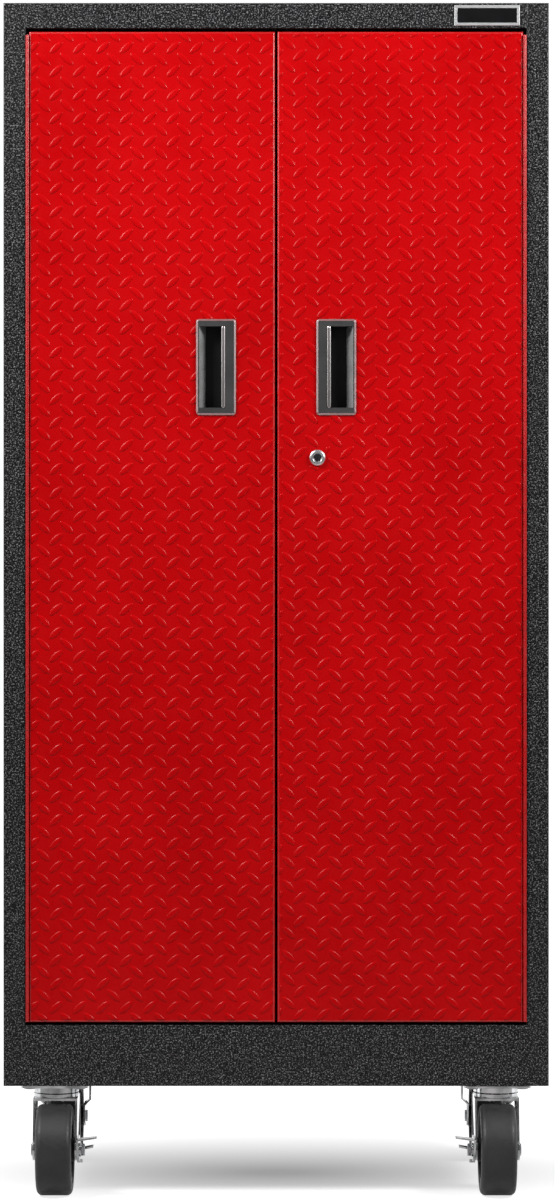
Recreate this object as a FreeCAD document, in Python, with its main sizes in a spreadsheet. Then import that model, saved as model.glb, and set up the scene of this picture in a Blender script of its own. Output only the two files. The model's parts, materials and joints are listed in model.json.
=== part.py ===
import FreeCAD, Part
import math
import os
import Sketcher

# Rolling steel cabinet with two hinged doors, four shelves and a lock, on two
# swivel and two rigid casters. Millimetres. +Z is up, +X to the right, and the
# doors face -Y. The origin is on the floor, under the middle of the cabinet.

doc = FreeCAD.newDocument("RollingCabinet")
sheet = doc.addObject("Spreadsheet::Sheet", "dims")

drivingDimensions = [
    # the whole cabinet
    ("cabinetWidth", 762), ("bodyDepth", 457), ("bodyHeight", 1430),
    ("baseHeight", 83),
    # sheet metal of the body and the base
    ("bodySheet", 1.2), ("baseSheet", 1.5), ("floorSheet", 2), ("foldRadius", 2),
    ("stileWidth", 31), ("stileReturn", 25), ("topRailHeight", 35),
    ("railReturn", 46), ("railLip", 12), ("rearFlange", 20), ("topFlange", 20),
    ("baseFlange", 30), ("channelSheet", 3), ("channelFlange", 30),
    ("channelWidth", 118),
    # doors
    ("doorThickness", 25), ("doorSheet", 1), ("doorFold", 3), ("doorGap", 3.4),
    ("doorTopGap", 5), ("doorBottomGap", 4), ("linerSheet", 1),
    ("linerFlange", 12),
    # continuous hinges
    ("hingePin", 2.4), ("pinClearance", 0.05), ("barrelWall", 1.15),
    ("hingeLeaf", 1.2), ("leafDepth", 20), ("knucklePitch", 12.7),
    ("knuckleGap", 0.3), ("hingeProud", 1.2), ("notchClearance", 0.5),
    ("hingeTopInset", 5), ("hingeBottomInset", 1),
    # recessed pulls
    ("pullWidth", 55.5), ("pullHeight", 134), ("pullProud", 4), ("pullRim", 3.2),
    ("pullDepth", 20), ("pullWall", 2), ("pullCorner", 4), ("pullBevel", 2.5),
    ("pullClearance", 0.3), ("pullEdgeInset", 82.3), ("pullTopInset", 468.7),
    ("cavityRim", 4.1), ("cavityWidth", 31.8), ("cavityHeight", 113.7),
    ("cavitySlope", 9),
    ("gripThickness", 4), ("gripRound", 1.5),
    # lock, keeper and hook
    ("bezelDiameter", 22.8), ("bezelProud", 3.5), ("bezelBevel", 1.2),
    ("barrelDiameter", 19), ("barrelClearance", 0.25), ("barrelTail", 4),
    ("threadClearance", 0.05), ("plugDiameter", 11), ("plugInset", 0.6),
    ("plugClearance", 0.06), ("collarDiameter", 15), ("collarGap", 0.3),
    ("lockEdgeInset", 56), ("lockTopInset", 595.2), ("lockNutWidth", 24),
    ("lockNutHeight", 2.5), ("keywayWidth", 1.6), ("keywayLength", 7),
    ("keywayDepth", 5), ("camLength", 80), ("camWidth", 12), ("camSheet", 2.5),
    ("camGap", 2), ("camHub", 18), ("camScrewHead", 13), ("camScrewHeight", 3),
    ("keeperSheet", 2), ("keeperWidth", 25), ("keeperFoot", 24),
    ("keeperGap", 2), ("keeperSideGap", 18), ("keeperReach", 14), ("hookWidth", 20),
    ("hookEdgeInset", 4), ("hookDrop", 16), ("hookFoot", 16),
    # shelves, standards and clips
    ("shelfSheet", 1.2), ("shelfFlange", 30), ("shelfSetback", 56),
    ("shelfRearGap", 3), ("shelfSideGap", 1), ("standardWidth", 20),
    ("standardDepth", 10), ("standardSheet", 1.5), ("standardInset", 48),
    ("standardBottomGap", 30), ("standardTopGap", 20), ("slotPitch", 25.4),
    ("slotHeight", 12), ("slotWidth", 5), ("clipSheet", 2), ("clipWidth", 14),
    ("clipReach", 12), ("clipHeight", 18), ("clipClearance", 0.3),
    ("lowerShelfSlot", 8), ("secondShelfSlot", 19), ("upperShelfSlot", 43),
    ("lockShelfGap", 30),
    # magnetic catches and badge
    ("magnetLength", 38), ("magnetDepth", 17), ("magnetHeight", 13),
    ("magnetInset", 8), ("strikeSheet", 1.2), ("strikeGap", 0.4),
    ("badgeWidth", 91.5), ("badgeHeight", 28.5), ("badgeProud", 1.5),
    ("badgeBorder", 4), ("badgeInset", 0.6), ("badgeSideInset", 86.3),
    # wheels and casters
    ("wheelDiameter", 127), ("wheelWidth", 50), ("tyreThickness", 17),
    ("treadRadius", 8), ("webWidth", 24), ("hubDiameter", 34), ("rimWall", 6),
    ("rimInset", 1), ("hubGap", 0.5), ("axleDiameter", 10), ("axleClearance", 0.06),
    ("wheelSideGap", 3), ("wheelTopGap", 4), ("forkSheet", 3), ("forkEnd", 15),
    ("forkCrown", 3.5), ("forkTopHalf", 33), ("forkShoulder", 6),
    ("rearForkFlare", 9), ("rearForkFlareRise", 19), ("rearForkBend", 9),
    ("frontCasterSideInset", 71), ("rearCasterSideInset", 66),
    ("frontCasterInset", 58), ("rearCasterInset", 72), ("swivelOffset", 38),
    ("plateWidth", 95), ("plateDepth", 114), ("plateSheet", 3.5),
    ("plateCorner", 10), ("boltSpacingAcross", 70), ("boltSpacingAlong", 89),
    ("boltDiameter", 9.5), ("boltClearance", 0.3), ("boltHeadDiameter", 16),
    ("boltHeadHeight", 1.8), ("boltNutWidth", 14.3), ("boltNutHeight", 8),
    ("kingpinDiameter", 12), ("kingpinClearance", 0.08), ("kingpinHead", 20),
    ("kingpinHeadHeight", 4), ("kingpinGap", 0.3), ("racewayDiameter", 63),
    ("racewayGap", 1.5), ("ballCircle", 48), ("ballDiameter", 5),
    ("ballClearance", 0.3), ("ballCount", 14), ("lowerRaceHeight", 5),
    ("upperRaceHeight", 10.5), ("axleHeadWidth", 15), ("axleHeadHeight", 2.4),
    ("axleNutHeight", 5), ("brakeGap", 0.4), ("brakeSheet", 3), ("brakeHub", 26),
    ("brakeBoss", 19), ("brakeHubLength", 5), ("lockPadReach", 29),
    ("lockPadRise", 17), ("lockPadFront", 44), ("freePadReach", 21),
    ("freePadRise", -5), ("freePadRear", 42), ("padLength", 17), ("padSheet", 2.5),
    ("padTilt", 4), ("tailDrop", 17), ("tailReach", 8),
]
for row, (alias, number) in enumerate(drivingDimensions, start=1):
    sheet.set(f"A{row}", alias)
    sheet.set(f"B{row}", str(number))
    sheet.setAlias(f"B{row}", alias)
doc.recompute()

# ---------------------------------------------------------------- helpers

nodes = []


def value(expression):
    return float(sheet.evalExpression(expression))


def bind(item, **expressions):
    for path, expression in expressions.items():
        item.setExpression(path, expression)


def place(item, x, y, z):
    item.setExpression("Placement.Base.x", x)
    item.setExpression("Placement.Base.y", y)
    item.setExpression("Placement.Base.z", z)


def keep(item, label):
    item.Label = label
    nodes.append(item)
    return item


def box(x, y, z):
    item = doc.addObject("Part::Box", "Box")
    bind(item, Length=f"({x[1]}) - ({x[0]})", Width=f"({y[1]}) - ({y[0]})",
         Height=f"({z[1]}) - ({z[0]})")
    place(item, x[0], y[0], z[0])
    return item


turns = {
    "x": FreeCAD.Rotation(FreeCAD.Vector(0, 1, 0), 90),
    "y": FreeCAD.Rotation(FreeCAD.Vector(1, 0, 0), -90),
    "z": FreeCAD.Rotation(),
}


def along(item, axis, start, centre):
    """Stand the item on its start, along one axis through the centre."""
    item.Placement = FreeCAD.Placement(FreeCAD.Vector(), turns[axis])
    first, second = centre
    spot = {"x": (start, first, second), "y": (first, start, second),
            "z": (first, second, start)}[axis]
    place(item, *spot)
    return item


def rod(axis, diameter, span, centre):
    item = doc.addObject("Part::Cylinder", "Rod")
    bind(item, Radius=f"({diameter}) / 2", Height=f"({span[1]}) - ({span[0]})")
    return along(item, axis, span[0], centre)


def hexagon(axis, acrossFlats, span, centre):
    item = doc.addObject("Part::Prism", "Hexagon")
    item.Polygon = 6
    bind(item, Circumradius=f"({acrossFlats}) / sqrt(3)",
         Height=f"({span[1]}) - ({span[0]})")
    return along(item, axis, span[0], centre)


def fuse(*items):
    item = doc.addObject("Part::MultiFuse", "Fuse")
    item.Shapes = list(items)
    item.Refine = True
    return item


def cut(base, *tools):
    item = doc.addObject("Part::Cut", "Cut")
    item.Base = base
    item.Tool = tools[0] if len(tools) == 1 else group(*tools)
    return item


def group(*items):
    item = doc.addObject("Part::Compound", "Group")
    item.Links = list(items)
    return item


def newBody(label):
    return keep(doc.addObject("PartDesign::Body", label), label)


def sketchOn(body, axis, offset):
    role = {"x": "YZ_Plane", "y": "XZ_Plane", "z": "XY_Plane"}[axis]
    plane = next(item for item in body.Origin.OriginFeatures if item.Role == role)
    sketch = body.newObject("Sketcher::SketchObject", "Sketch")
    sketch.AttachmentSupport = [(plane, "")]
    sketch.MapMode = "FlatFace"
    sketch.setExpression("AttachmentOffset.Base.z", offset)
    return sketch


def spotRules(geometry, point, spot):
    """Hold one sketch point at its two distances from the origin."""
    return [(Sketcher.Constraint(kind, -1, 1, geometry, point, value(expression)),
             expression) for kind, expression in zip(("DistanceX", "DistanceY"), spot)]


def addRules(sketch, rules):
    """Add constraints together; each one with an expression follows the sheet."""
    first = sketch.ConstraintCount
    sketch.addConstraint([rule for rule, expression in rules])
    for index, (rule, expression) in enumerate(rules, start=first):
        if expression:
            sketch.setExpression(f"Constraints[{index}]", expression)


def addPolygon(sketch, corners):
    spots = [FreeCAD.Vector(value(u), value(v), 0) for u, v in corners]
    first = sketch.GeometryCount
    count = len(corners)
    sketch.addGeometry([Part.LineSegment(spot, spots[(index + 1) % count])
                        for index, spot in enumerate(spots)])
    rules = [(Sketcher.Constraint("Coincident", first + index, 2,
                                  first + (index + 1) % count, 1), None)
             for index in range(count)]
    for index, corner in enumerate(corners):
        rules += spotRules(first + index, 1, corner)
    addRules(sketch, rules)


def addCircle(sketch, centre, diameter):
    spot = FreeCAD.Vector(value(centre[0]), value(centre[1]), 0)
    radius = value(diameter) / 2
    index = sketch.addGeometry(Part.Circle(spot, FreeCAD.Vector(0, 0, 1), radius))
    rule = Sketcher.Constraint("Radius", index, radius)
    addRules(sketch, spotRules(index, 3, centre) + [(rule, f"({diameter}) / 2")])


def rectangle(u, v):
    return [(u[0], v[0]), (u[1], v[0]), (u[1], v[1]), (u[0], v[1])]


def draw(sketch, outlines):
    for outline in outlines:
        if isinstance(outline, list):
            addPolygon(sketch, outline)
        else:
            addCircle(sketch, *outline)


def pad(body, axis, span, *outlines):
    """Extrude outlines between two places along an axis."""
    start = f"-({span[1]})" if axis == "y" else span[0]
    feature = body.newObject("PartDesign::Pad", "Pad")
    feature.Profile = sketchOn(body, axis, start)
    draw(feature.Profile[0], outlines)
    feature.setExpression("Length", f"({span[1]}) - ({span[0]})")
    feature.Refine = False
    body.Tip = feature
    return feature


def pocket(body, axis, span, *outlines):
    """Cut outlines out between two places along an axis."""
    start = f"-({span[0]})" if axis == "y" else span[1]
    feature = body.newObject("PartDesign::Pocket", "Pocket")
    feature.Profile = sketchOn(body, axis, start)
    draw(feature.Profile[0], outlines)
    feature.setExpression("Length", f"({span[1]}) - ({span[0]})")
    feature.Refine = False
    body.Tip = feature
    return feature


def dress(body, kind, test, **sizes):
    """Fillet or chamfer the edges of the body that pass the test."""
    doc.recompute()
    base = body.Tip
    edges = [f"Edge{index}" for index, edge in enumerate(base.Shape.Edges, start=1)
             if test(edge.BoundBox)]
    if not edges:
        raise RuntimeError(f"{body.Label}: no edge for its {kind}")
    feature = body.newObject(f"PartDesign::{kind}", kind)
    feature.Base = (base, edges)
    bind(feature, **sizes)
    body.Tip = feature
    return feature


def near(first, second):
    return abs(first - second) < 0.01


def isUpright(bounds, x, y):
    """An edge along Z at one x and y."""
    return (near(bounds.XMin, x) and near(bounds.XMax, x) and near(bounds.YMin, y)
            and near(bounds.YMax, y))


def lathe(body, axis, outline):
    """Turn an outline, drawn beside the X or Z axis, once round it."""
    sketch = sketchOn(body, "y", "0")
    addPolygon(sketch, outline)
    feature = body.newObject("PartDesign::Revolution", "Revolution")
    feature.Profile = sketch
    feature.ReferenceAxis = (sketch, ["H_Axis" if axis == "x" else "V_Axis"])
    feature.Angle = 360
    body.Tip = feature
    return feature


def sided(side, distance):
    """Distance from the middle plane, to the left or to the right."""
    return f"({side} * ({distance}))"


def ordered(first, second):
    """Two expressions, the smaller first."""
    return (first, second) if value(first) < value(second) else (second, first)


sides = (("left", -1), ("right", 1))

# ------------------------------------------------------- places that recur

# the front wheels trail forward, past the doors, so they set the front of the whole
wheelProud = "(dims.wheelDiameter / 2 + dims.swivelOffset - dims.frontCasterInset)"
face = f"(-(dims.bodyDepth - {wheelProud}) / 2)"
rear = f"({face} + dims.bodyDepth)"
# the casters set the height at which the base starts
mountLevel = "(" + " + ".join(f"dims.{size}" for size in (
    "wheelDiameter", "wheelTopGap", "forkCrown", "lowerRaceHeight", "racewayGap",
    "upperRaceHeight", "plateSheet")) + ")"
seam = f"({mountLevel} + dims.baseHeight)"
top = f"({seam} + dims.bodyHeight)"
halfWidth = "(dims.cabinetWidth / 2)"
halfInside = f"({halfWidth} - dims.bodySheet)"
halfOpening = f"({halfWidth} - dims.stileWidth)"
lid = f"({top} - dims.bodySheet)"
floorTop = f"({seam} + dims.floorSheet)"
railBottom = f"({top} - dims.topRailHeight)"
backInside = f"({rear} - 2 * dims.bodySheet)"

hingeSlot = "(dims.hingePin + 2 * dims.pinClearance + 2 * dims.barrelWall)"
hingeX = f"({halfOpening} - {hingeSlot} / 2)"
hingeY = f"({face} - dims.hingeProud)"
doorTop = f"({railBottom} - dims.doorTopGap)"
doorBottom = f"({floorTop} + dims.doorBottomGap)"
doorOuter = f"({halfOpening} - {hingeSlot})"
doorInner = "(dims.doorGap / 2)"
doorBack = f"({face} + dims.doorThickness)"
hingeTop = f"({doorTop} - dims.hingeTopInset)"
hingeBottom = f"({doorBottom} + dims.hingeBottomInset)"

# ------------------------------------------------------------ cabinet body


def sidePanel(name, side):
    """One folded sheet: rear flange, wall, stile and the stile's return."""
    def x(inward):
        return sided(side, f"{halfWidth} - ({inward})")

    sheetIn = "dims.bodySheet"
    body = newBody(f"side_panel_{name}")
    pad(body, "z", (seam, lid), [
        (x("dims.rearFlange"), rear), (x("0"), rear), (x("0"), face),
        (x("dims.stileWidth"), face),
        (x("dims.stileWidth"), f"{face} + dims.stileReturn"),
        (x(f"dims.stileWidth - {sheetIn}"), f"{face} + dims.stileReturn"),
        (x(f"dims.stileWidth - {sheetIn}"), f"{face} + {sheetIn}"),
        (x(sheetIn), f"{face} + {sheetIn}"), (x(sheetIn), f"{rear} - {sheetIn}"),
        (x("dims.rearFlange"), f"{rear} - {sheetIn}")])
    folds = [(value(x("0")), value(face)), (value(x("0")), value(rear)),
             (value(x("dims.stileWidth")), value(face))]
    limit = f"min(dims.foldRadius; 2 * {sheetIn})"
    dress(body, "Fillet", lambda edge: any(isUpright(edge, *fold) for fold in folds),
          Radius=limit)


def topPanel():
    """Top sheet with its front rail, the rail's return and lip, and flanges."""
    inside = (f"-{halfInside}", halfInside)
    opening = (f"-{halfOpening}", halfOpening)
    thick = "dims.bodySheet"
    rail = box(opening, (face, f"{face} + {thick}"), (railBottom, lid))
    shelf = box(opening, (face, f"{face} + dims.railReturn"),
                (railBottom, f"{railBottom} + {thick}"))
    lip = box(opening, (f"{face} + dims.railReturn - {thick}",
                        f"{face} + dims.railReturn"),
              (railBottom, f"{railBottom} + dims.railLip"))
    flanges = []
    for name, side in sides:
        outer = sided(side, halfInside)
        inner = sided(side, f"{halfInside} - {thick}")
        flanges.append(box(ordered(outer, inner),
                           (f"{face} + dims.stileReturn", f"{backInside} - {thick}"),
                           (f"{lid} - dims.topFlange", lid)))
    back = f"({halfWidth} - dims.rearFlange)"
    flanges.append(box((f"-{back}", back), (f"{rear} - {thick}", rear),
                       (f"{lid} - dims.topFlange", lid)))
    sheetTop = box((f"-{halfWidth}", halfWidth), (face, rear), (lid, top))
    keep(fuse(sheetTop, rail, shelf, lip, *flanges), "top_panel")


def backPanel():
    keep(box((f"-{halfInside}", halfInside), (backInside, f"{rear} - dims.bodySheet"),
             (floorTop, lid)), "back_panel")


def bottomPanel():
    """Flat floor with a tongue between the stiles, flush with the front."""
    behind = f"{face} + dims.stileReturn"
    body = newBody("bottom_panel")
    pad(body, "z", (seam, floorTop), [
        (f"-{halfInside}", f"{rear} - dims.bodySheet"), (f"-{halfInside}", behind),
        (f"-{halfOpening}", behind), (f"-{halfOpening}", face),
        (halfOpening, face), (halfOpening, behind),
        (halfInside, behind), (halfInside, f"{rear} - dims.bodySheet")])


def baseSkirt():
    """Four walls with a flange round the top, on which the body stands."""
    thick = "dims.baseSheet"
    inner = f"({halfWidth} - {thick})"
    flange = f"({halfWidth} - dims.baseFlange)"
    body = newBody("base_skirt")
    pad(body, "z", (mountLevel, seam),
        rectangle((f"-{halfWidth}", halfWidth), (face, rear)))
    corners = [(side * value(halfWidth), value(depth))
               for name, side in sides for depth in (face, rear)]
    dress(body, "Fillet", lambda edge: any(isUpright(edge, *spot) for spot in corners),
          Radius="dims.foldRadius")
    pocket(body, "z", (mountLevel, f"{seam} - {thick}"),
           rectangle((f"-{inner}", inner), (f"{face} + {thick}", f"{rear} - {thick}")))
    pocket(body, "z", (f"{seam} - {thick}", seam),
           rectangle((f"-{flange}", flange),
                     (f"{face} + dims.baseFlange", f"{rear} - dims.baseFlange")))


boltRows = [(across, lengthwise) for across in (-1, 1) for lengthwise in (-1, 1)]
casterX = {"front": f"({halfWidth} - dims.frontCasterSideInset)",
           "rear": f"({halfWidth} - dims.rearCasterSideInset)"}
casterY = {"front": f"({face} + dims.frontCasterInset)",
           "rear": f"({rear} - dims.rearCasterInset)"}


def boltSpot(side, end, across, lengthwise):
    return (f"{sided(side, casterX[end])} + {across} * dims.boltSpacingAcross / 2",
            f"{casterY[end]} + {lengthwise} * dims.boltSpacingAlong / 2")


def casterChannel(end):
    """Channel across the base, open upwards; the caster plates bolt under it."""
    inner = f"({halfWidth} - dims.baseSheet)"
    if end == "front":
        wall = f"({face} + dims.baseSheet)"
        span = (wall, f"{wall} + dims.channelWidth")
    else:
        wall = f"({rear} - dims.baseSheet)"
        span = (f"{casterY['rear']} - dims.channelWidth / 2", wall)
    thick = "dims.channelSheet"
    foot = mountLevel
    body = newBody(f"caster_channel_{end}")
    pad(body, "x", (f"-{inner}", inner), [
        (span[0], foot), (span[1], foot), (span[1], f"{foot} + dims.channelFlange"),
        (f"{span[1]} - {thick}", f"{foot} + dims.channelFlange"),
        (f"{span[1]} - {thick}", f"{foot} + {thick}"),
        (f"{span[0]} + {thick}", f"{foot} + {thick}"),
        (f"{span[0]} + {thick}", f"{foot} + dims.channelFlange"),
        (span[0], f"{foot} + dims.channelFlange")])
    hole = "dims.boltDiameter + 2 * dims.boltClearance"
    pocket(body, "z", (foot, f"{foot} + {thick}"),
           *[(boltSpot(side, end, *row), hole) for name, side in sides
             for row in boltRows])


for sideName, sideSign in sides:
    sidePanel(sideName, sideSign)
topPanel()
backPanel()
bottomPanel()
baseSkirt()
casterChannel("front")
casterChannel("rear")

# ------------------------------------------- shelf standards, clips, shelves

standardBottom = f"({floorTop} + dims.standardBottomGap)"
standardTop = f"({lid} - dims.topFlange - dims.standardTopGap)"
standardY = {"front": f"({face} + dims.standardInset)",
             "rear": f"({backInside} - dims.standardInset)"}
firstSlot = f"({standardBottom} + dims.slotPitch / 2)"
slotCount = int((value(standardTop) - value(firstSlot)) / value("dims.slotPitch"))


def slotHeightAt(slot):
    """Middle of a numbered slot, counted from the foot of the standard."""
    return f"({firstSlot} + round({slot}) * dims.slotPitch)"


def shelfStandard(side, end):
    """Slotted channel on a side wall, open towards the wall."""
    middle = standardY[end]
    halfStrip = "dims.standardWidth / 2"
    thick = "dims.standardSheet"

    def x(inward):
        return sided(side, f"{halfInside} - ({inward})")

    deep = "dims.standardDepth"
    body = doc.addObject("PartDesign::Body", "Standard")
    pad(body, "z", (standardBottom, standardTop), [
        (x("0"), f"{middle} - {halfStrip}"), (x(deep), f"{middle} - {halfStrip}"),
        (x(deep), f"{middle} + {halfStrip}"), (x("0"), f"{middle} + {halfStrip}"),
        (x("0"), f"{middle} + {halfStrip} - {thick}"),
        (x(f"{deep} - {thick}"), f"{middle} + {halfStrip} - {thick}"),
        (x(f"{deep} - {thick}"), f"{middle} - {halfStrip} + {thick}"),
        (x("0"), f"{middle} - {halfStrip} + {thick}")])
    first = pocket(body, "x", ordered(x(f"{deep} - {thick}"), x(deep)), rectangle(
        (f"{middle} - dims.slotWidth / 2", f"{middle} + dims.slotWidth / 2"),
        (f"{firstSlot} - dims.slotHeight / 2", f"{firstSlot} + dims.slotHeight / 2")))
    slots = body.newObject("PartDesign::LinearPattern", "Slots")
    slots.Originals = [first]
    slots.Direction = (first.Profile[0], ["V_Axis"])
    slots.Occurrences = slotCount
    slots.setExpression("Length", f"{slotCount - 1} * dims.slotPitch")
    slots.Refine = False
    body.Tip = slots
    return body


def shelfClip(side, end, slot):
    """Angle with a tooth in the slot; its ledge carries the shelf's flange."""
    middle = standardY[end]
    level = slotHeightAt(slot)
    halfClip = "dims.clipWidth / 2"
    tooth = "(dims.slotWidth / 2 - dims.clipClearance)"

    def x(inward):
        return sided(side, f"{halfInside} - dims.standardDepth - ({inward})")

    plate = box(ordered(x("0"), x("dims.clipSheet")),
                (f"{middle} - {halfClip}", f"{middle} + {halfClip}"),
                (f"{level} - dims.clipHeight", level))
    ledge = box(ordered(x("0"), x("dims.clipReach")),
                (f"{middle} - {halfClip}", f"{middle} + {halfClip}"),
                (f"{level} - dims.clipSheet", level))
    key = box(ordered(x("0"), x("-dims.standardSheet - dims.clipSheet")),
              (f"{middle} - {tooth}", f"{middle} + {tooth}"),
              (f"{level} - dims.slotHeight / 2 + dims.clipClearance",
               f"{level} - dims.clipClearance"))
    return fuse(plate, ledge, key)


def shelf(label, slot):
    """Pan turned upside down, with its four flanges folded down."""
    underside = slotHeightAt(slot)
    surface = f"({underside} + dims.shelfFlange)"
    halfShelf = (f"({halfInside} - dims.standardDepth - dims.clipSheet"
                 f" - dims.shelfSideGap)")
    front = f"({face} + dims.shelfSetback)"
    back = f"({backInside} - dims.shelfRearGap)"
    thick = "dims.shelfSheet"
    body = newBody(label)
    pad(body, "z", (underside, surface), rectangle((f"-{halfShelf}", halfShelf),
                                                   (front, back)))
    level = value(surface)
    dress(body, "Fillet",
          lambda edge: near(edge.ZMin, level) and near(edge.YMax, value(front)),
          Radius=f"min(dims.foldRadius; 2 * {thick})")
    pocket(body, "z", (underside, f"{surface} - {thick}"),
           rectangle((f"-{halfShelf} + {thick}", f"{halfShelf} - {thick}"),
                     (f"{front} + {thick}", f"{back} - {thick}")))


lockLevel = f"({doorTop} - dims.lockTopInset)"
# the fixed shelf is the first one that clears the lock, because it holds the keeper
fixedSlot = f"ceil(({lockLevel} + dims.lockShelfGap - {firstSlot}) / dims.slotPitch)"
shelves = [("shelf_1", "dims.lowerShelfSlot"), ("shelf_2", "dims.secondShelfSlot"),
           ("shelf_3_fixed", fixedSlot), ("shelf_4", "dims.upperShelfSlot")]
corners = [(side, end) for name, side in sides for end in ("front", "rear")]
keep(group(*[shelfStandard(side, end) for side, end in corners]), "shelf_standards")
keep(group(*[shelfClip(side, end, slot) for label, slot in shelves
             for side, end in corners]), "shelf_clips")
for shelfLabel, shelfSlot in shelves:
    shelf(shelfLabel, shelfSlot)

# -------------------------------------------------------- continuous hinges


def hingeLeaf(label, side, knuckles, onFrame):
    """Strip curled round the pin, with every other knuckle cut away."""
    def x(outward):
        return sided(side, f"{hingeX} + ({outward})")

    barrel = f"({hingeSlot} / 2)"
    bore = "(dims.hingePin + 2 * dims.pinClearance)"
    turn = 1 if onFrame else -1
    flat = (f"{turn} * ({barrel} - dims.hingeLeaf)", f"{turn} * {barrel}")
    body = newBody(label)
    pad(body, "z", (hingeBottom, hingeTop), ((x("0"), hingeY), hingeSlot))
    pad(body, "z", (hingeBottom, hingeTop), rectangle(
        ordered(x(flat[0]), x(flat[1])), (hingeY, f"{face} + dims.leafDepth")))
    pocket(body, "z", (hingeBottom, hingeTop), ((x("0"), hingeY), bore))
    reach = f"({barrel} + dims.notchClearance)"
    notch = pocket(body, "z", (
        f"{hingeBottom} + {knuckles} * dims.knucklePitch - dims.knuckleGap / 2",
        f"{hingeBottom} + {knuckles + 1} * dims.knucklePitch + dims.knuckleGap / 2"),
        rectangle(ordered(x(f"-{reach}"), x(reach)),
                  (f"{hingeY} - {reach}", f"{hingeY} + {reach}")))
    length = value(hingeTop) - value(hingeBottom)
    cuts = (math.ceil(length / value("dims.knucklePitch")) - knuckles + 1) // 2
    pattern = body.newObject("PartDesign::LinearPattern", "Knuckles")
    pattern.Originals = [notch]
    pattern.Direction = (body.Origin.OriginFeatures[2], [""])
    pattern.Occurrences = cuts
    pattern.setExpression("Length", f"{2 * (cuts - 1)} * dims.knucklePitch")
    pattern.Refine = False
    body.Tip = pattern


for sideName, sideSign in sides:
    hingeLeaf(f"hinge_leaf_frame_{sideName}", sideSign, 1, True)
    hingeLeaf(f"hinge_leaf_door_{sideName}", sideSign, 0, False)
keep(group(*[rod("z", "dims.hingePin", (hingeBottom, hingeTop),
                 (sided(side, hingeX), hingeY)) for name, side in sides]),
     "hinge_pins")

# -------------------------------------------------------------------- doors

pullOut = "(dims.doorGap / 2 + dims.pullEdgeInset)"
pullLevel = f"({doorTop} - dims.pullTopInset)"
lockOut = "(dims.doorGap / 2 + dims.lockEdgeInset)"
lockHole = "(dims.barrelDiameter + 2 * dims.barrelClearance)"
tubHalfWidth = "(dims.pullWidth / 2 - dims.pullRim)"
tubHalfHeight = "(dims.pullHeight / 2 - dims.pullRim)"


def doorSpan(side, inset):
    return ordered(sided(side, f"{doorOuter} - {inset}"),
                   sided(side, f"{doorInner} + {inset}"))


def doorRise(inset):
    return (f"{doorBottom} + {inset}", f"{doorTop} - {inset}")


def doorSkin(name, side):
    """Pan with rounded front edges, open at the back, cut out for its pull."""
    thick = "dims.doorSheet"
    body = newBody(f"door_skin_{name}")
    pad(body, "y", (face, doorBack), rectangle(doorSpan(side, "0"), doorRise("0")))
    front = value(face)
    dress(body, "Fillet", lambda edge: near(edge.YMin, front) and near(edge.YMax, front),
          Radius="dims.doorFold")
    pocket(body, "y", (f"{face} + {thick}", doorBack),
           rectangle(doorSpan(side, thick), doorRise(thick)))
    openings = [rectangle(
        ordered(sided(side, f"{pullOut} - {tubHalfWidth} - dims.pullClearance"),
                sided(side, f"{pullOut} + {tubHalfWidth} + dims.pullClearance")),
        (f"{pullLevel} - {tubHalfHeight} - dims.pullClearance",
         f"{pullLevel} + {tubHalfHeight} + dims.pullClearance"))]
    if name == "right":
        openings.append(((lockOut, lockLevel), lockHole))
    pocket(body, "y", (face, f"{face} + {thick}"), *openings)


def doorLiner(name, side):
    """Inner pan, set into the skin and flush with the back of its edges."""
    edge = "dims.doorSheet"
    thick = "dims.linerSheet"
    body = newBody(f"door_liner_{name}")
    pad(body, "y", (f"{doorBack} - dims.linerFlange", doorBack),
        rectangle(doorSpan(side, edge), doorRise(edge)))
    inner = f"{edge} + {thick}"
    pocket(body, "y", (f"{doorBack} - dims.linerFlange", f"{doorBack} - {thick}"),
           rectangle(doorSpan(side, f"({inner})"), doorRise(f"({inner})")))
    if name == "right":
        pocket(body, "y", (f"{doorBack} - {thick}", doorBack),
               ((lockOut, lockLevel), lockHole))


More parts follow.
